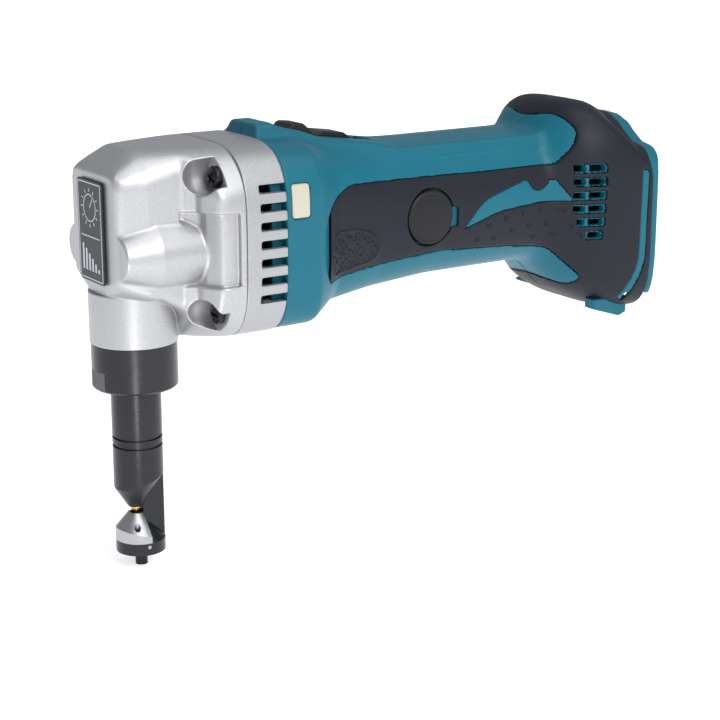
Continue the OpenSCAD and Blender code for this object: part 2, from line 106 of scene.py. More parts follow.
softbox("key", (0.10, -1.10, 0.75), (0.5, 0.5), 9.0)
softbox("floor_strip", (-0.095, -0.20, -0.020), (0.035, 0.24), 0.40, (-0.052, -0.11, 0.98))
sun_data = bpy.data.lights.new("soft_sun", "SUN")
sun_data.energy = 1.3
sun_data.angle = math.radians(50)
sun = bpy.data.objects.new("soft_sun", sun_data)
sun_way = Vector((-0.15, 0.35, -1.0))
sun.matrix_world = sun_way.to_track_quat("-Z", "Y").to_matrix().to_4x4()
bpy.context.scene.collection.objects.link(sun)
world = bpy.data.worlds.new("studio")
world.use_nodes = True
sky = world.node_tree.nodes["Background"]
sky.inputs["Color"].default_value = (0.90, 0.94, 1.0, 1)
sky.inputs["Strength"].default_value = 0.42
bpy.context.scene.world = world
bpy.context.scene.view_settings.view_transform = "Standard"

# %% Floor, level with the lowest point of the tool
floor_mesh = bpy.data.meshes.new("floor")
floor_z = cad_box[0][2] - 0.0002
floor_corners = [(6 * a, 6 * b, floor_z) for a, b in ((-1, -1), (1, -1), (1, 1), (-1, 1))]
floor_mesh.from_pydata(floor_corners, [], [(0, 1, 2, 3)])
floor = bpy.data.objects.new("floor", floor_mesh)
bpy.context.scene.collection.objects.link(floor)

# %% [markdown]
# ## Shader helpers
# Patterns are easier to read as sums than as boxes and wires. `Value` wraps one output socket, so
# ordinary arithmetic on it adds Math nodes. `Finish` makes a material, and its one `add` method
# makes every other node.

# %% Arithmetic on sockets
class Value:
    def __init__(self, finish, socket):
        self.finish = finish
        self.socket = socket

    def math(self, operation, a, b):
        return self.finish.add("ShaderNodeMath", {"operation": operation}, {0: a, 1: b})

    def __add__(self, other):
        return self.math("ADD", self, other)

    def __radd__(self, other):
        return self.math("ADD", other, self)

    def __mul__(self, other):
        return self.math("MULTIPLY", self, other)


# %% One material and its nodes
class Finish:
    def __init__(self, name, **fixed):
        self.material = bpy.data.materials.new(name)
        self.material.use_nodes = True
        self.tree = self.material.node_tree
        self.shader = self.tree.nodes["Principled BSDF"]
        self.place = self.add("ShaderNodeTexCoord", out="Object")
        self.set(**fixed)

    def set(self, **sockets):
        for key, value in sockets.items():
            self.feed(self.shader.inputs[key.replace("_", " ").title().replace("Ior", "IOR")], value)

    def feed(self, socket, value):
        if isinstance(value, Value):
            self.tree.links.new(value.socket, socket)
        else:
            socket.default_value = value

    def add(self, kind, settings=None, sockets=None, out=0):
        node = self.tree.nodes.new(kind)
        for key, value in (settings or {}).items():
            setattr(node, key, value)
        for key, value in (sockets or {}).items():
            self.feed(node.inputs[key], value)
        return Value(self, node.outputs[out])

    def noise(self, scale, detail=2.0, stretch=(1, 1, 1)):
        at = self.add("ShaderNodeMapping", None, {"Vector": self.place, "Scale": stretch})
        return self.add("ShaderNodeTexNoise", None, {"Vector": at, "Scale": scale, "Detail": detail})

    def blend(self, factor, a, b):
        return self.add("ShaderNodeMix", {"data_type": "RGBA"}, {0: factor, 6: a, 7: b}, out=2)

    def relief(self, height, distance, strength=1.0):
        sockets = {"Height": height, "Distance": distance, "Strength": strength}
        self.set(normal=self.add("ShaderNodeBump", None, sockets))


print("shader helpers ready")

# %% [markdown]
# ## Finishes
# Cast housings of power tools are blasted and painted silver, so they sparkle a little and have a
# fine orange-peel. The blue-green shell is moulded nylon with spark-eroded texture, the soft grip is
# matt rubber, and the cutting head is blacked steel. Each finish changes slightly over the surface.

# %% Palette and moulded or painted finishes
def grey(v):
    return (v, v, v * 1.02)


def shades(base, low, high):
    return tuple(c * low for c in base) + (1,), tuple(min(1, c * high) for c in base) + (1,)


def cast_paint(name, base, metal, rough):
    f = Finish(name, metallic=metal)
    flake = f.noise(1500, 3)
    cloud = f.noise(35, 2)
    f.set(base_color=f.blend(flake, *shades(base, 0.8, 1.2)), roughness=rough + cloud * 0.08 + flake * 0.10)
    f.relief(flake, 0.00006, 0.5)
    return f.material


def moulded(name, base, rough, grain=0.00002, grain_scale=1800, vary=0.12, shine=0.22):
    f = Finish(name, specular_ior_level=shine)
    grain_noise = f.noise(grain_scale, 2)
    cloud = f.noise(22, 3)
    colour = f.blend(cloud, *shades(base, 1 - vary, 1 + vary))
    f.set(base_color=colour, roughness=rough + grain_noise * 0.08 + cloud * 0.05)
    f.relief(grain_noise, grain, 0.6)
    return f.material


# %% Metal finishes
def machined(name, base, rough, stretch=(1, 1, 30), metal=1.0, scratch=0.10):
    f = Finish(name, metallic=metal)
    lines = f.noise(120, 3, stretch)
    cloud = f.noise(60, 3)
    f.set(base_color=f.blend(cloud, *shades(base, 0.86, 1)), roughness=rough + lines * scratch)
    f.relief(lines, 0.00001, 0.4)
    return f.material


def wound(name, base):
    f = Finish(name, metallic=1.0)
    wave = f.add("ShaderNodeTexWave", {"wave_type": "BANDS"},
                 {"Vector": f.place, "Scale": 400.0, "Distortion": 3.0})
    f.set(base_color=f.blend(wave, *shades(base, 0.6, 1)), roughness=0.30)
    f.relief(wave, 0.0001)
    return f.material


# %% The finish of each slot in the record
finishes = {
    "cast_metal": cast_paint("cast_metal", grey(0.42), 0.75, 0.34),
    "bracket_metal": cast_paint("bracket_metal", grey(0.37), 0.70, 0.38),
    "teal_plastic": moulded("teal_plastic", (0.006, 0.115, 0.165), 0.34),
    "overmould": moulded("overmould", (0.010, 0.012, 0.018), 0.42, 0.00003, 1300),
    "plate_print": moulded("plate_print", (0.020, 0.022, 0.030), 0.30, 0.000005, 900),
    "black_screw": machined("black_screw", (0.035, 0.035, 0.038), 0.30, (1, 1, 1)),
    "lens": moulded("lens", (0.46, 0.44, 0.36), 0.20, 0.00001, 600, 0.05),
    "circuit_board": moulded("circuit_board", (0.02, 0.12, 0.05), 0.40),
    "black_plastic": moulded("black_plastic", (0.012, 0.012, 0.014), 0.32),
    "brass": machined("brass", (0.62, 0.42, 0.16), 0.25),
    "carbon": moulded("carbon", (0.03, 0.03, 0.032), 0.5),
    "spring_steel": machined("spring_steel", (0.42, 0.42, 0.44), 0.25, (1, 1, 1)),
    "dark_steel": machined("dark_steel", (0.20, 0.20, 0.21), 0.32),
    "bright_steel": machined("bright_steel", (0.42, 0.42, 0.43), 0.30),
    "copper": wound("copper", (0.72, 0.32, 0.16)),
    "black_oxide": machined("black_oxide", (0.020, 0.020, 0.025), 0.22, (1, 1, 30), 0.5, 0.12),
    "gold_coating": machined("gold_coating", (0.80, 0.52, 0.14), 0.18),
    "felt": moulded("felt", (0.16, 0.14, 0.11), 0.85, 0.0002, 900, 0.3),
}
slot_of = {part["node"]: part["material_slot"] for part in frame["record"]["subparts"]}
for node, slot in slot_of.items():
    nodes[node].data.materials.clear()
    nodes[node].data.materials.append(finishes[slot])
print(len(finishes), "finishes on", len(slot_of), "nodes")

# %% Pale floor
pale = Finish("pale_floor", roughness=0.9, emission_color=(1, 1, 1, 1), emission_strength=0.62)
pale.set(base_color=pale.blend(pale.noise(3.0), (0.90, 0.90, 0.91, 1), (0.93, 0.93, 0.93, 1)))
floor.data.materials.append(pale.material)

# %% [markdown]
# ## Shapes as distance functions
# A moulding is blends, ribs, pockets and swept edges, which is slow work with boxes and bevels. Here
# each piece is a function that tells how far a point lies outside it. Union, cut and round-over are
# then one line each, and one mesher turns any such function into a closed mesh: it finds the grid
# cells that the surface crosses, puts a vertex in each, joins neighbours, and pulls every vertex onto
# the true surface.

# %% Blends of two distances, with a fillet of size r
def both(a, b, r=0.01):
    h = np.clip(0.5 + 0.5 * (a - b) / r, 0, 1)
    return b + (a - b) * h + r * h * (1 - h)


def either(a, b, r=0.01):
    return -both(-a, -b, r)


def cut(a, b, r=0.01):
    return both(a, -b, r)


# %% Outlines drawn with corners and arcs
def rounded(corners, steps=8):
    points = []
    for i, (u, v, r) in enumerate(corners):
        here = np.array([u, v], float)
        back = np.array(corners[i - 1][:2]) - here
        ahead = np.array(corners[(i + 1) % len(corners)][:2]) - here
        reach = min(np.linalg.norm(back), np.linalg.norm(ahead)) * 0.49
        back /= np.linalg.norm(back)
        ahead /= np.linalg.norm(ahead)
        half = 0.5 * math.acos(max(-1, min(1, float(back @ ahead))))
        trim = min(r / math.tan(half), reach)
        for t in np.linspace(0, 1, steps if trim > 0.05 else 1):
            points.append(here + back * trim * (1 - t) ** 2 + ahead * trim * t ** 2)
    return np.array(points)


class Outline:
    """A closed outline that answers how far a point in its plane lies outside it."""
    def __init__(self, corners, cell=0.2, margin=5):
        points = rounded(corners)
        self.low = points.min(0) - margin
        self.cell = cell
        size = ((points.max(0) + margin - self.low) / cell).astype(int) + 2
        u = self.low[0] + cell * np.arange(size[0])[:, None]
        v = self.low[1] + cell * np.arange(size[1])[None, :]
        near = np.full(size, 1e9)
        odd = np.zeros(size, bool)
        for a, b in zip(points, np.roll(points, -1, 0)):
            run = b - a
            if not run.any():
                continue
            t = np.clip(((u - a[0]) * run[0] + (v - a[1]) * run[1]) / (run @ run), 0, 1)
            near = np.minimum(near, (u - a[0] - t * run[0]) ** 2 + (v - a[1] - t * run[1]) ** 2)
            if a[1] != b[1]:
                crossing = (a[1] > v) != (b[1] > v)
                odd ^= crossing & (u < a[0] + run[0] * (v - a[1]) / run[1])
        self.grid = np.sqrt(near) * np.where(odd, -1, 1)

    def __call__(self, u, v):
        s = np.clip((u - self.low[0]) / self.cell, 0, self.grid.shape[0] - 1.001)
        t = np.clip((v - self.low[1]) / self.cell, 0, self.grid.shape[1] - 1.001)
        i, j = s.astype(int), t.astype(int)
        s, t = s - i, t - j
        g = self.grid
        near = g[i, j] * (1 - s) + g[i + 1, j] * s
        far = g[i, j + 1] * (1 - s) + g[i + 1, j + 1] * s
        return near * (1 - t) + far * t


# %% From a distance function to a closed mesh
def nets(field, low, high, step):
    axes = [np.arange(a, b + step, step) for a, b in zip(low, high)]
    value = field(axes[0][:, None, None], axes[1][None, :, None], axes[2][None, None, :])
    value = np.broadcast_to(value, [len(a) for a in axes])
    inside = value < 0
    corners = [(i, j, k) for i in (0, 1) for j in (0, 1) for k in (0, 1)]
    size = np.array(inside.shape) - 1
    full = sum(inside[i:i + size[0], j:j + size[1], k:k + size[2]].astype(np.int8) for i, j, k in corners)
    mixed = (full > 0) & (full < 8)
    at = np.argwhere(mixed)
    index = np.full(mixed.shape, -1, np.int64)
    index[mixed] = np.arange(len(at))
    total = np.zeros((len(at), 3))
    hits = np.zeros(len(at))
    for corner in corners:
        for axis in range(3):
            if corner[axis]:
                continue
            a = at + corner
            b = a.copy()
            b[:, axis] += 1
            va, vb = value[tuple(a.T)], value[tuple(b.T)]
            crossed = (va < 0) != (vb < 0)
            point = a[crossed].astype(float)
            point[:, axis] += (va / (va - vb + 1e-12))[crossed]
            total[crossed] += point
            hits[crossed] += 1
    points = np.array(low) + total / hits[:, None] * step
    quads = []
    for axis in range(3):
        u, v = (axis + 1) % 3, (axis + 2) % 3
        a = np.take(inside, range(size[axis]), axis)
        b = np.take(inside, range(1, size[axis] + 1), axis)
        edge = np.argwhere(a != b)
        edge = edge[(edge[:, u] > 0) & (edge[:, v] > 0) & (edge[:, u] < size[u]) & (edge[:, v] < size[v])]
        ring = []
        for du, dv in ((1, 1), (0, 1), (0, 0), (1, 0)):
            cell = edge.copy()
            cell[:, u] -= du
            cell[:, v] -= dv
            ring.append(index[tuple(cell.T)])
        ring = np.stack(ring, 1)
        flip = ~a[tuple(edge.T)]
        ring[flip] = ring[flip][:, ::-1]
        quads.append(ring)
    return points, np.concatenate(quads)


def slope(field, points, e=0.04):
    columns = []
    for axis in range(3):
        ahead, behind = points.copy(), points.copy()
        ahead[:, axis] += e
        behind[:, axis] -= e
        columns.append((field(*ahead.T) - field(*behind.T)) / (2 * e))
    return np.stack(columns, 1)


# %% The finished piece: meshed, settled on the surface, placed and given its slot
def shade(obj, slot, body, replaced=()):
    obj.data.materials.clear()
    obj.data.materials.append(finishes[slot])
    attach(obj, body)
    if replaced:
        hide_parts(*replaced)
    return obj


def mould(name, field, low, high, step, slot, body="casing", replaced=()):
    step *= 1.0
    low = [a - 2.3 * step for a in low]
    high = [a + 2.3 * step for a in high]
    points, quads = nets(field, low, high, step)
    for turn in range(3):
        g = slope(field, points)
        move = field(*points.T)[:, None] * g / np.maximum((g * g).sum(1), 0.05)[:, None]
        length = np.linalg.norm(move, axis=1, keepdims=True)
        points -= move * np.minimum(1, 0.4 * step / np.maximum(length, 1e-9))
    g = slope(field, points)
    normals = g / np.maximum(np.linalg.norm(g, axis=1, keepdims=True), 1e-9)
    mesh = bpy.data.meshes.new(name)
    mesh.from_pydata((points * MM).tolist(), [], quads.tolist())
    mesh.polygons.foreach_set("use_smooth", np.ones(len(quads), bool))
    mesh.normals_split_custom_set_from_vertices(normals.tolist())
    obj = bpy.data.objects.new(name, mesh)
    bpy.context.scene.collection.objects.link(obj)
    print(f"{name}: {2 * len(quads)} triangles")
    return shade(obj, slot, body, replaced)


# %% [markdown]
# ## The plastic housing
# The shell is one flowing form: a square collar, a slim oval handle, and a foot that flares out to
# the battery. Sections along the handle, each a rounded rectangle with its own squareness, give the
# form, and a short smoothing along the length turns the corners between them into soft creases.

# %% Sections of the shell: place, centre height, half height, half width, squareness
stations = np.array([
    [49, 109.2, 37.8, 36.8, 4.0], [65, 109.2, 37.0, 36.4, 4.6], [79, 110.2, 33.0, 28.6, 3.2],
    [103, 110.6, 31, 26, 2.6], [133, 110.7, 29, 25, 2.4], [188, 110.9, 29, 25, 2.4],
    [194, 112.2, 35.5, 28.5, 2.6], [201, 110.3, 41.9, 33, 3], [208, 108.3, 43.7, 35.6, 3.4],
    [215, 105.6, 45.0, 37.0, 3.8], [226, 102.3, 44.8, 38, 4.5], [239, 100.7, 43, 37.8, 5]])
along = np.arange(30.0, 260.0, 0.25)


def soften(column, width):
    raw = np.interp(along, stations[:, 0], stations[:, column])
    edge = int(16 * width)
    bell = np.exp(-0.5 * (np.arange(-edge, edge + 1) * 0.25 / width) ** 2)
    return np.convolve(np.pad(raw, edge, "edge"), bell / bell.sum(), "valid")


crisp = np.clip((95 - along) / 20, 0, 1)
profile = [soften(c, 0.9) * crisp + soften(c, 2.6) * (1 - crisp) for c in (1, 2, 3, 4)]


def section(x, y, z):
    centre, tall, wide, square = [np.interp(x, along, column) for column in profile]
    a = np.abs(y) / wide + 1e-4
    b = np.abs(z - centre) / tall + 1e-4
    rho = (a ** square + b ** square) ** (1 / square)
    lean = np.hypot((a / rho) ** (square - 1) / wide, (b / rho) ** (square - 1) / tall)
    return (rho - 1) / lean


# %% The whole skin: sections, switch ridge, sloping shoulders and end faces
collar_front, rim_back = 49, 239
ridge_line = [49, 58, 62, 71, 79, 92, 104, 114], [152.5, 152.5, 150.4, 148.4, 145.4, 143.4, 141.6, 139]


def skin(x, y, z):
    side = np.abs(y)
    d = section(x, y, z)
    line = np.interp(side, [0, 9, 18, 26, 40], [147, 145, 138.5, 132.8, 129.8])
    d = both(d, (z - line - 0.95 * np.maximum(0, 229 - x)) * 0.75, 5)
    crest = np.interp(x, *ridge_line)
    flank = (side - 10.5 + (z - 152) * 0.45) * 0.9
    ridge = both(both(both(z - crest, flank, 2.2), 49.3 - x + (z - 146) * 0.22, 1.2), 134 - z, 1)
    d = either(d, ridge, 3.0)
    return both(both(d, collar_front - x, 0.7), x - rim_back, 0.7)


# %% [markdown]
# ## Where rubber meets plastic
# The soft grip is moulded into a bed in the shell. Seen from the side, the bed is one outline, and
# some islands of hard plastic stand up through it. The same outlines cut the shell and shape the
# rubber, so the two always meet.

# %% Outlines in X and Z of the rubber and of the islands in it
rubber = Outline([
    (71.3, 90.1, 1.2), (77.3, 90.9, 8), (99, 93.0, 60), (131, 94.9, 80), (169, 92.4, 60), (190.5, 89.4, 12),
    (204.6, 75.4, 3), (202.6, 70.8, 3.5), (197.4, 73.2, 8), (193.4, 77.0, 2), (190, 72, 0), (190, 40, 0),
    (235.7, 40, 0), (235.7, 118, 6), (233.4, 127, 6), (233.4, 165, 0), (186, 165, 0), (186, 139.6, 1),
    (191.6, 144.6, 6), (196.4, 147.2, 3), (200.6, 140.2, 7), (197.4, 133.4, 14), (190.4, 126.2, 5),
    (150, 126.2, 60), (84.6, 127.5, 9), (71.5, 121.8, 16), (66.6, 109, 24), (67.4, 98, 30)])
swoosh = Outline([(142.6, 103.0, 0.5), (152.6, 114.2, 20), (174.2, 120.6, 0.8), (190.6, 119.6, 1),
                  (197.4, 110.4, 0.6), (182, 110.6, 40), (161, 108.8, 40)])
strip = Outline([(229.7, 122.4, 0.8), (233.4, 121.4, 0.8), (232.6, 80, 22), (225.4, 62.5, 1),
                 (222.4, 65, 1), (229.0, 81, 20)])
thumb_pad = Outline([(74.4, 92.4, 2), (86, 94.0, 10), (96, 95.6, 6), (99.4, 99.8, 4), (95.6, 106.4, 8),
                     (87, 109.4, 8), (75, 109.4, 3), (70.9, 101, 12)])
bite = (182.2, 121.4, 5.6)
vent_rows = [(124.3 - 5.85 * k, left, right) for k, (left, right) in enumerate(
    ((197.0, 211.0), (197.0, 211.0), (197.0, 210.7), (197.0, 210.5), (198.6, 210.3), (202.3, 209.4)))]


def disc(x, z, where):
    return np.hypot(x - where[0], z - where[1]) - where[2]


def slot_shape(x, z, left, right, height, half, r=0.9):
    a = np.abs(x - (left + right) / 2) - (right - left) / 2 + r
    b = np.abs(z - height) - half + r
    return np.hypot(np.maximum(a, 0), np.maximum(b, 0)) + np.minimum(np.maximum(a, b), 0) - r


def leaf(x, z):
    return cut(swoosh(x, z), disc(x, z, bite), 0.5)


def vent_panels(x, z):
    d = 99.0
    for height, left, right in vent_rows:
        d = np.minimum(d, slot_shape(x, z, left, right, height, 2.0))
    return d


def vent_windows(x, z):
    d = 99.0
    for height, left, right in vent_rows:
        d = np.minimum(d, slot_shape(x, z, 203.1, right - 0.8, height, 1.35, 0.6))
        if left < 200:
            d = np.minimum(d, slot_shape(x, z, left + 0.3, 201.6, height, 1.35, 0.6))
    return d


def islands(x, z):
    return np.minimum(np.minimum(leaf(x, z), strip(x, z)), vent_panels(x, z))


# %% Small dimples in rows under the swoosh, each row following its curve
dimple_rows = ((155.6, 5, 107.6, 181), (168.4, 4, 101.2, 181), (150.0, 2, 98.2, 150), (181.2, 3, 96.1, 190))
dimples = [(start + 9.2 * k, height - ((start + 9.2 * k - crest) / 12.5) ** 2)
           for start, count, height, crest in dimple_rows for k in range(count)]
print(len(dimples), "dimples a side")


def dimpling(x, z):
    d = 0.0
    for u, v in dimples:
        d = d + 0.7 * np.exp(-(((x - u) ** 2 + (z - v) ** 2) / 1.3) ** 2)
    return d


# %% Half of the shell, on the side that `side` names: -1 is the left and +1 the right
grip_bed = 1.2
brush_x, motor_z = 125.0, 110.0
housing_screws = [(58, 84, 29), (58, 136, 29), (150, 87, 13), (178, 87, 13), (178, 134, 14),
                  (214, 72, 29), (214, 140, 27)]


def shell_half(side):
    def field(x, y, z):
        out = y * side
        body = skin(x, y, z)
        panels = vent_panels(x, z)
        d = body + 0.45 * np.exp(-np.square(np.minimum(panels, 0) - 0.2) / 4) * (panels < 0.3)
        bed = both(rubber(x, z), -islands(x, z), 0.2)
        d = cut(d, both(bed, -(body + grip_bed), 0.1), 0.35)
        hollow = both(both(body + 4.2, 47 - x, 1), x - 222, 1)
        d = cut(d, hollow, 0.4)
        ceiling = np.interp(np.abs(y), [20, 32], [132, 122])
        bay = both(both(np.abs(y) - 34, 225 - x, 1.0), z - ceiling, 1.0)
        d = cut(d, bay, 0.4)
        d = cut(d, both(vent_windows(x, z), 8 - out, 0.2), 0.2)
        d = cut(d, both(slot_shape(x, z, 51.3, 59.7, 125.5, 6.8, 1.4), 25 - out, 0.2), 0.3)
        well = both(np.hypot(x - brush_x, z - motor_z) - 12.3, 21.4 - out, 0.2)
        notch = both(slot_shape(x, z, 133, 139.4, motor_z - 1, 3.2), 23.2 - out, 0.2)
        d = cut(d, either(well, notch, 0.1), 0.3)
        trough = both(both(np.abs(y) - 7.4, np.abs(x - 87.2) - 20.6, 1.2), 139.8 - z, 0.3)
        stem_way = both(both(np.abs(y) - 4.4, np.abs(x - 87) - 12, 0.3), 130 - z, 0.3)
        d = cut(d, either(trough, stem_way, 0.3), 0.5)
        spigot = both(both(np.abs(section(x, y, z) + 5.2) - 0.9, 44.5 - x, 0.2), x - 50, 0.2)
        d = either(d, spigot, 0.2)
        tab_low = 54.9 if side < 0 else 58.0
        tab = both(np.abs(out - 25) - 3.4, np.abs(x - 221.7) - 9.6, 1)
        tab = both(tab, tab_low + 0.32 * np.abs(x - 227) - z, 0.6)
        d = either(d, both(tab, z - 64, 0.3), 0.8)
        if side > 0:
            for u, v, head in housing_screws:
                shaft = both(np.hypot(x - u, z - v) - 3.2, head - out, 0.1)
                d = cut(d, either(shaft, both(np.hypot(x - u, z - v) - 1.7, -out, 0.1), 0.1), 0.3)
        return both(d, 0.05 - out, 0.25)
    return field


# %% The rubber on one side
def grip_half(side):
    def field(x, y, z):
        out = y * side
        ridge = 0.35 * np.exp(-np.square(thumb_pad(x, z)) / 0.35)
        pad = np.clip(-thumb_pad(x, z) * 2, 0, 1) * (x < 110)
        grain = 0.10 * np.sin(x * 5.1 + np.sin(z * 3.7) * 2) * np.sin(z * 5.3 + np.sin(x * 4.1) * 2)
        body = skin(x, y, z) + dimpling(x, z) - ridge * (x < 110) + pad * (0.15 + grain) - 0.3
        shape = both(rubber(x, z) + 0.12, 0.12 - np.minimum(leaf(x, z), strip(x, z)), 0.3)
        shape = both(shape, 0.08 - vent_panels(x, z), 0.3)
        d = both(body, shape, 0.8)
        d = both(d, -(skin(x, y, z) + grip_bed - 0.04), 0.1)
        d = cut(d, np.hypot(x - brush_x, z - motor_z) - 12.1, 0.7)
        d = cut(d, slot_shape(x, z, 133, 139.2, motor_z - 1, 4.2), 0.5)
        if side > 0:
            for u, v, head in housing_screws:
                d = cut(d, np.hypot(x - u, z - v) - 3.25, 0.3)
        return both(d, 0.05 - out, 0.3)
    return field


# %% Mesh both halves and both grips
for side, word in ((-1, "left"), (1, "right")):
    reach = sorted((0.0, side * 39.0))
    mould(f"{word}_shell", shell_half(side), (44, reach[0], 52), (240, reach[1], 154), 0.82,
          "teal_plastic", replaced=[f"housing_{word}"])
    mould(f"{word}_grip", grip_half(side), (72, reach[0], 52), (238, reach[1], 154), 0.55,
          "overmould", replaced=[f"grip_{word}"])

# %% [markdown]
# ## The cast gear housing
# A die casting has flat faces for machining and labels, generous fillets, and draft. The head is a
# faceted block over the punch, with a half-round swelling on each side for the crank, and it widens
# to the flange that takes the motor bracket. Screw pockets and a shallow panel are cut in the flange.

# %% The flange outline, which the motor bracket shares
def flange(y, z):
    a = np.abs(y) / 37.3 + 1e-4
    b = np.abs(z - 109.2) / 38.6 + 1e-4
    rho = (a ** 3.6 + b ** 3.6) ** (1 / 3.6)
    return (rho - 1) / np.hypot((a / rho) ** 2.6 / 37.3, (b / rho) ** 2.6 / 38.6)


# %% The head from above and from the side
plan_side = [(-16.5, 18.9, 1.4), (-3, 22.3, 1.2), (10.5, 22.8, 3), (15.0, 26.2, 1.0), (15.8, 29.2, 0.5),
             (20.5, 37.4, 8), (34, 37.6, 0)]
plan = Outline([(x, -y, r) for x, y, r in plan_side] + [(x, y, r) for x, y, r in reversed(plan_side)])
profile_side = Outline([(-16.5, 89.6, 0.8), (-16.5, 138.6, 3.0), (-4.0, 147.6, 5.0), (34, 148.0, 0),
                        (34, 60, 0), (16, 60, 2), (12, 84, 10), (2, 89.6, 3)])
head_screw_y, head_screw_z = 27.0, 26.5
crank_z = 125


def gear_case(x, y, z):
    side = np.abs(y)
    d = both(plan(x, y), profile_side(x, z), 4.5)
    d = both(d, flange(y, z), 1.2)
    d = both(d, (side - 19) * 0.47 + (97.5 - z) * 0.88 - np.maximum(x + 16.5, 0) * 0.55, 3.0)
    d = both(d, (side - 18.5) * 0.62 + (z - 139.5) * 0.70 - np.clip(x + 16.5, 0, 12) * 0.16
             - np.maximum(x + 4.5, 0) * 0.22, 5.0)
    panel = both(both(np.abs(z - 109.3) - 14.2, x - 28.4, 1.0), 10 - x, 0.5)
    d = cut(d, both(panel, -(both(plan(x, y), flange(y, z), 1.0) + 2.5), 0.8), 0.8)
    t = np.clip((x + 14) / 14, 0, 1)
    swell = np.hypot(side - 18 + 3.4 * t, z - 107.2) - 8.3 - 6.0 * t
    d = either(d, both(both(swell * 0.92, -14.3 - x, 0.8), x - 21, 0.5), 1.1)
    d = either(d, both(np.hypot(x, y) - 17.35, np.abs(z - 80.8) - 10.5, 0.5), 0.6)
    collar = np.hypot(side - head_screw_y - 0.8, np.abs(z - motor_z) - head_screw_z - 0.8)
    pocket = np.hypot(collar, np.minimum(x - 17, 0)) - 7.3
    d = cut(d, both(pocket, x - 24, 0.3), 0.6)
    screw_hole = np.hypot(side - head_screw_y, np.abs(z - motor_z) - head_screw_z) - 2.2
    d = cut(d, screw_hole, 0.1)
    d = both(d, x - 30.93, 0.5)
    barrel_bore = np.hypot(x, y) - 10 + np.where(z > 93.6, 99, 0)
    yoke_room = both(both(np.abs(x) - 9, side - 12, 1), np.abs(z - 117) - 23, 1)
    hollow = either(barrel_bore, yoke_room)
    gears = both(np.hypot(y, z - crank_z) - 14.5, 15.9 - x, 0.2)
    gears = either(gears, both(np.hypot(y, z - motor_z) - 7, 15.9 - x, 0.2))
    gears = either(gears, both(np.hypot(y, z - crank_z) - 11, 8.9 - x, 0.2))
    return cut(cut(d, hollow, 0.2), gears, 0.2)


mould("gear_case", gear_case, (-17.5, -38, 68), (31, 38, 148.5), 0.59, "cast_metal",
      replaced=["gear_housing"])


# %% Turned pieces, and the spigot that the lock nut is screwed to
def lathe(name, outline, centre, slot, body, replaced=(), axis="Z", sides=96):
    ring = []
    for r, h in outline:
        for k in range(sides):
            a = 2 * math.pi * k / sides
            u, v = r * math.cos(a), r * math.sin(a)
            p = {"Z": (u, v, h), "Y": (v, h, u), "-Y": (u, -h, v)}[axis]
            ring.append(tuple((c + middle) * MM for c, middle in zip(p, centre)))
    n = len(outline)
    faces = []
    for i in range(n if outline[0][0] > 0 else n - 1):
        here, ahead = i * sides, (i + 1) % n * sides
        for k in range(sides):
            after = (k + 1) % sides
            faces.append((here + k, here + after, ahead + after, ahead + k))
    mesh = bpy.data.meshes.new(name)
    mesh.from_pydata(ring, [], faces)
    work = bmesh.new()
    work.from_mesh(mesh)
    bmesh.ops.remove_doubles(work, verts=work.verts, dist=1e-7)
    bmesh.ops.recalc_face_normals(work, faces=work.faces)
    for face in work.faces:
        face.smooth = True
    for edge in work.edges:
        if len(edge.link_faces) == 2 and edge.calc_face_angle() > 0.6:
            edge.smooth = False
    work.to_mesh(mesh)
    obj = bpy.data.objects.new(name, mesh)
    bpy.context.scene.collection.objects.link(obj)
    return shade(obj, slot, body, replaced)


lathe("case_spigot", [(10.1, 57), (14.5, 57), (14.5, 72), (10.1, 72)], (0, 0, 0), "cast_metal", "casing")

# %% [markdown]
# ## The vented motor bracket
# The bracket is an extrusion of the flange outline with a thin wall. Seven slots on each side run
# out of its back edge, and the shell closes them.

# %% Bracket with its slots
def bracket(x, y, z):
    side = np.abs(y)
    outer = flange(y, z)
    d = both(both(outer, 31.02 - x, 0.5), x - 48.95, 0.5)
    boss = np.hypot(side - head_screw_y, np.abs(z - motor_z) - head_screw_z) - 5
    cavity = both(cut(outer + 3.1, boss, 1.0), 40 - x, 1.0)
    cavity = either(cavity, both(np.hypot(y, z - motor_z) - 9, 33 - x, 0.2))
    cavity = either(cavity, np.hypot(y, z - motor_z) - 7)
    cavity = either(cavity, both(np.hypot(y, z - crank_z) - 5.5, x - 35, 0.2))
    d = cut(d, cavity, 0.4)
    pitch = 7.15
    row = np.clip(np.round((z - motor_z) / pitch), -3, 3) * pitch + motor_z
    slots = both(slot_shape(x, z, 37.2, 60, row, 1.65, 0.8), 12 - side, 0.3)
    return cut(d, slots, 0.45)


mould("motor_bracket", bracket, (31, -38, 70), (49, 38, 148.5), 0.55, "bracket_metal",
      replaced=["vent_housing"])

# %% [markdown]
# ## Small mouldings
# The switch button has two humps with thumb ribs, the lenses are pillow-shaped windows, and the
# brush covers are round caps with a bevelled edge.

# %% Switch button
button_side = Outline([
    (67.5, 144.2, 0.8), (67.7, 149.0, 1.6), (70.0, 150.9, 1.6), (75.6, 150.3, 2.0), (80.4, 145.9, 0.8),
    (84.0, 146.8, 1.0), (94.6, 145.4, 1.6), (98.0, 142.9, 1.0), (98.4, 141, 0.5),
    (90, 142.0, 5), (80, 143.2, 5)])


def button(x, y, z):
    ribs = 0.16 * np.cos(np.clip((x - 71.5) / 1.5, -1.5, 2.5) * 2 * math.pi) * (np.abs(x - 72.2) < 3)
    d = both(button_side(x, z) + ribs * (z > 148), np.abs(y) - 6.6, 1.3)
    stem = both(both(np.abs(x - 85) - 2.6, np.abs(y) - 1.4, 0.3), np.abs(z - 139.6) - 4.8, 0.3)
    return cut(either(d, stem, 0.3), np.hypot(x - 85, z - 136.8) - 1.03, 0.1)


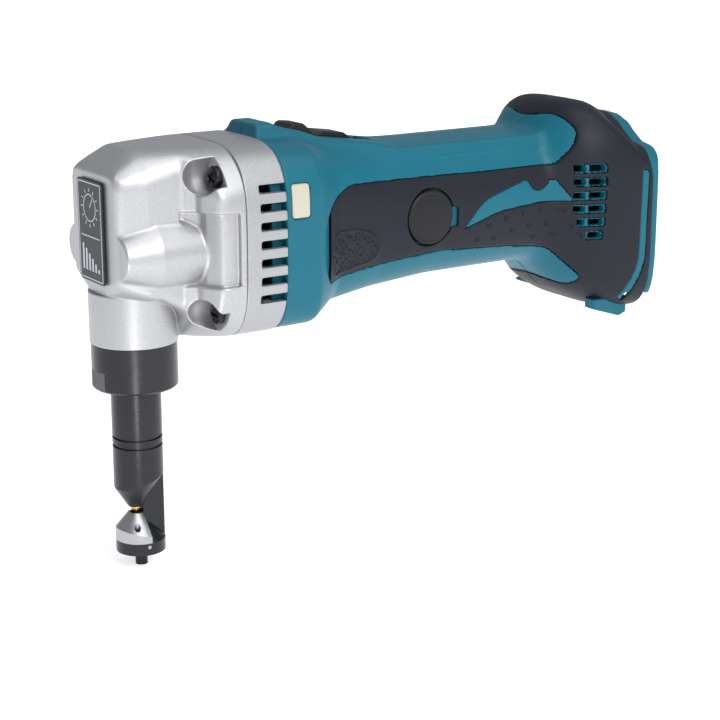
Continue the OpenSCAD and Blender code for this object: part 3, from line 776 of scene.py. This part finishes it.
mould("switch_button", button, (67, -7, 134.5), (99, 7, 151.5), 0.35, "black_plastic", "switch_knob",
      ["switch_knob"])


# %% Lenses and brush covers
def lens(side):
    def field(x, y, z):
        out = y * side
        d = both(slot_shape(x, z, 51.45, 59.55, 125.5, 6.65, 1.4), skin(x, y, z) - 0.25, 0.9)
        return both(d, 34.0 - out, 0.3)
    return field


for side, word in ((-1, "left"), (1, "right")):
    reach = sorted((side * 33.5, side * 37.5))
    mould(f"{word}_lens", lens(side), (51, reach[0], 118.5), (60, reach[1], 132.5), 0.3, "lens",
          replaced=[f"indicator_lens_{word}"])
    cap = [(0, 21.5), (11.3, 21.5), (11.3, 24.6), (11.1, 25.1), (10.7, 25.35), (10.2, 25.4), (9.9, 25.25),
           (9.6, 25.3), (5, 25.55), (0, 25.6)]
    lathe(f"{word}_brush_cap", cap, (brush_x, 0, motor_z), "black_plastic", "casing",
          [f"brush_cover_{word}"], "Y" if side > 0 else "-Y")

# %% [markdown]
# ## Screws, made once and copied by Geometry Nodes
# One screw is modelled with a domed head and a cross recess. A node tree puts a copy on every point,
# turns each copy by a random angle about its own axis, as screws end up in real life, and joins them.

# %% One pan-head screw, seat at the origin and head up
def screw(name, radius, rise, shank, length):
    def field(x, y, z):
        r = np.hypot(x, y)
        dome = radius * 1.7
        head = both(both(r - radius, -z, 0.25), np.hypot(r, z + dome) - rise - dome, 0.5)
        slim = np.minimum(both(np.abs(x) - 0.13 * radius, np.abs(y) - 0.62 * radius, 0.1),
                          both(np.abs(y) - 0.13 * radius, np.abs(x) - 0.62 * radius, 0.1))
        recess = both(slim, rise * 0.35 + 0.35 * r - z, 0.1)
        thread = 0.12 * np.sin(z * 2 * math.pi / 1.1 + np.arctan2(y, x))
        rod = both(both(r - shank + thread * (z < -1), -z - length, 0.5), z - 0.3, 0.1)
        return either(cut(head, recess, 0.15), rod, 0.1)
    step = 0.28
    low = [-radius - 0.6, -radius - 0.6, -length - 0.6]
    points, quads = nets(field, low, [radius + 0.6, radius + 0.6, rise + 0.6], step)
    mesh = bpy.data.meshes.new(name)
    mesh.from_pydata((points * MM).tolist(), [], quads.tolist())
    mesh.polygons.foreach_set("use_smooth", np.ones(len(quads), bool))
    obj = bpy.data.objects.new(name, mesh)
    bpy.context.scene.collection.objects.link(obj)
    return obj


# %% A tree that copies a template to points
class Tree:
    def __init__(self, name, **inputs):
        self.group = bpy.data.node_groups.new(name, "GeometryNodeTree")
        self.group.interface.new_socket("Geometry", in_out="INPUT", socket_type="NodeSocketGeometry")
        for key, kind in inputs.items():
            self.group.interface.new_socket(key, in_out="INPUT", socket_type=kind)
        self.group.interface.new_socket("Geometry", in_out="OUTPUT", socket_type="NodeSocketGeometry")
        self.source = self.group.nodes.new("NodeGroupInput")

    def add(self, kind, settings=None, sockets=None):
        node = self.group.nodes.new(kind)
        for key, value in (settings or {}).items():
            setattr(node, key, value)
        for key, value in (sockets or {}).items():
            if isinstance(value, bpy.types.NodeSocket):
                self.group.links.new(value, node.inputs[key])
            else:
                node.inputs[key].default_value = value
        return node

    def close(self, geometry):
        whole = self.add("GeometryNodeRealizeInstances", None, {"Geometry": geometry})
        dressed = self.add("GeometryNodeSetMaterial", None, {"Geometry": whole.outputs[0],
                                                             "Material": self.source.outputs["Material"]})
        self.add("NodeGroupOutput", None, {0: dressed.outputs[0]})

    def run(self, name, points, **values):
        mesh = bpy.data.meshes.new(name + "_points")
        mesh.from_pydata([tuple(c * MM for c in p) for p in points], [], [])
        carrier = bpy.data.objects.new(name + "_points", mesh)
        bpy.context.scene.collection.objects.link(carrier)
        modifier = carrier.modifiers.new("copies", "NODES")
        modifier.node_group = self.group
        for item in self.group.interface.items_tree:
            if item.in_out == "INPUT" and item.name in values:
                modifier[item.identifier] = values[item.name]
        bpy.context.view_layer.update()
        seen = carrier.evaluated_get(bpy.context.evaluated_depsgraph_get())
        made = bpy.data.objects.new(name, bpy.data.meshes.new_from_object(seen))
        bpy.data.objects.remove(carrier)
        bpy.context.scene.collection.objects.link(made)
        print(f"{name}: {len(made.data.polygons)} faces")
        return made


copier = Tree("copies_on_points", Template="NodeSocketObject", Aim="NodeSocketVector", Seed="NodeSocketInt",
              Material="NodeSocketMaterial")
template = copier.add("GeometryNodeObjectInfo", None, {"Object": copier.source.outputs["Template"]})
aim = copier.add("FunctionNodeEulerToRotation", None, {0: copier.source.outputs["Aim"]})
placed = copier.add("GeometryNodeInstanceOnPoints", None, {
    "Points": copier.source.outputs["Geometry"], "Instance": template.outputs["Geometry"],
    "Rotation": aim.outputs[0]})
seed = copier.source.outputs["Seed"]
angle = copier.add("FunctionNodeRandomValue", {"data_type": "FLOAT"}, {2: 0.0, 3: math.pi / 2, "Seed": seed})
spin = copier.add("ShaderNodeCombineXYZ", None, {"Z": angle.outputs[1]})
turned = copier.add("GeometryNodeRotateInstances", None, {
    "Instances": placed.outputs[0], "Rotation": spin.outputs[0]})
copier.close(turned.outputs[0])


# %% Four long screws in the head and seven in the shell
def screws(name, form, points, aim, seed, node):
    template = screw(name + "_one", *form)
    made = copier.run(name, points, Template=template, Aim=aim, Seed=seed, Material=finishes["black_screw"])
    bpy.data.objects.remove(template)
    made.data.polygons.foreach_set("use_smooth", np.ones(len(made.data.polygons), bool))
    shade(made, "black_screw", "casing", [node])


head_points = [(24.0, y * head_screw_y, motor_z + z * head_screw_z) for y in (-1, 1) for z in (-1, 1)]
screws("case_screws", (4.3, 3.2, 2.0, 21.5), head_points, (0, -math.pi / 2, 0), 3, "gear_housing_screws")
screws("shell_screws", (2.95, 2.3, 1.5, 22.5), [(x, head, z) for x, z, head in housing_screws],
       (-math.pi / 2, 0, 0), 5, "housing_screws")

# %% [markdown]
# ## The plate on the nose
# A printed aluminium plate sits in a shallow seat. Its marks are a plain dial and a rising scale,
# raised a little like thick ink.

# %% Plate
plate_z = 115.5
ink_x = -16.79


def plate(x, y, z):
    rim = slot_shape(y, z, -10.8, 10.8, plate_z, 19.8, 1.6)
    return both(rim, np.abs(x + 16.35) - 0.45, 0.25)


mould("nose_plate", plate, (-17, -11, 95.5), (-15.8, 11, 135.5), 0.3, "plate_print",
      replaced=["name_plate"])


# %% Strokes of ink, each a thin closed bar between two points of the plate
def strokes(name, paths, width, slot):
    verts, faces = [], []
    for path in paths:
        for (ya, za), (yb, zb) in zip(path, path[1:]):
            run = np.array([yb - ya, zb - za])
            off = np.array([-run[1], run[0]]) / np.linalg.norm(run) * width / 2
            for depth in (ink_x - 0.09, ink_x + 0.09):
                for py, pz, sign in ((ya, za, 1), (yb, zb, 1), (yb, zb, -1), (ya, za, -1)):
                    verts.append((depth * MM, (py + sign * off[0]) * MM, (pz + sign * off[1]) * MM))
            n = len(verts) - 8
            faces += [(n, n + 3, n + 2, n + 1), (n + 4, n + 5, n + 6, n + 7)]
            faces += [(n + i, n + (i + 1) % 4, n + 4 + (i + 1) % 4, n + 4 + i) for i in range(4)]
    mesh = bpy.data.meshes.new(name)
    mesh.from_pydata(verts, [], faces)
    work = bmesh.new()
    work.from_mesh(mesh)
    bmesh.ops.recalc_face_normals(work, faces=work.faces)
    work.to_mesh(mesh)
    obj = bpy.data.objects.new(name, mesh)
    bpy.context.scene.collection.objects.link(obj)
    return shade(obj, slot, "casing")


ink = moulded("ink", (0.55, 0.57, 0.60), 0.45, 0.00001, 900, 0.06)
dial_z = 124.6
turns = np.linspace(0, 2 * math.pi, 41)


def at_dial(a, r):
    return r * math.cos(a), dial_z + r * math.sin(a)


ring = [at_dial(a, 5.2) for a in turns]
ticks = [[at_dial(a, 6.2), at_dial(a, 7.6)] for a in np.linspace(0, 2 * math.pi, 13)[:-1]]
hand = [[(0, dial_z), (-2.6, 128.2)]]
corners = (-1, -1), (1, -1), (1, 1), (-1, 1), (-1, -1)
frame_line = [[(y * 9.7, plate_z + z * 18.7) for y, z in corners]]
rule = [[(-8, 113.4), (8, 113.4)]]
marks = strokes("plate_marks", [ring] + ticks + hand + frame_line + rule, 0.42, "plate_print")
marks.data.materials[0] = ink

# %% The rising scale: bars on a line of points, each longer than the last
scale_tree = Tree("rising_scale", Count="NodeSocketInt", Growth="NodeSocketFloat",
                  Material="NodeSocketMaterial")
bar_start = (ink_x * MM, -6.6 * MM, 100.0 * MM)
bar_pitch = (0.0, 2.65 * MM, 0.0)
line = scale_tree.add("GeometryNodeMeshLine", None, {
    "Count": scale_tree.source.outputs["Count"], "Start Location": bar_start, "Offset": bar_pitch})
bar = scale_tree.add("GeometryNodeMeshCube", None, {"Size": (0.18 * MM, 1.3 * MM, 1.5 * MM)})
place = scale_tree.add("GeometryNodeInputIndex")
height = scale_tree.add("ShaderNodeMath", {"operation": "MULTIPLY_ADD"}, {
    0: place.outputs[0], 1: scale_tree.source.outputs["Growth"], 2: 1.0})
grow = scale_tree.add("ShaderNodeCombineXYZ", None, {"X": 1.0, "Y": 1.0, "Z": height.outputs[0]})
bars = scale_tree.add("GeometryNodeInstanceOnPoints", None, {
    "Points": line.outputs[0], "Instance": bar.outputs[0], "Scale": grow.outputs[0]})
lift = scale_tree.add("ShaderNodeMath", {"operation": "MULTIPLY"}, {0: height.outputs[0], 1: 0.75 * MM})
rise = scale_tree.add("ShaderNodeCombineXYZ", None, {"Z": lift.outputs[0]})
stood = scale_tree.add("GeometryNodeTranslateInstances", None, {
    "Instances": bars.outputs[0], "Translation": rise.outputs[0], "Local Space": False})
scale_tree.close(stood.outputs[0])
scale = scale_tree.run("plate_scale", [(0, 0, 0)], Count=6, Growth=1.15, Material=ink)
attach(scale, "casing")
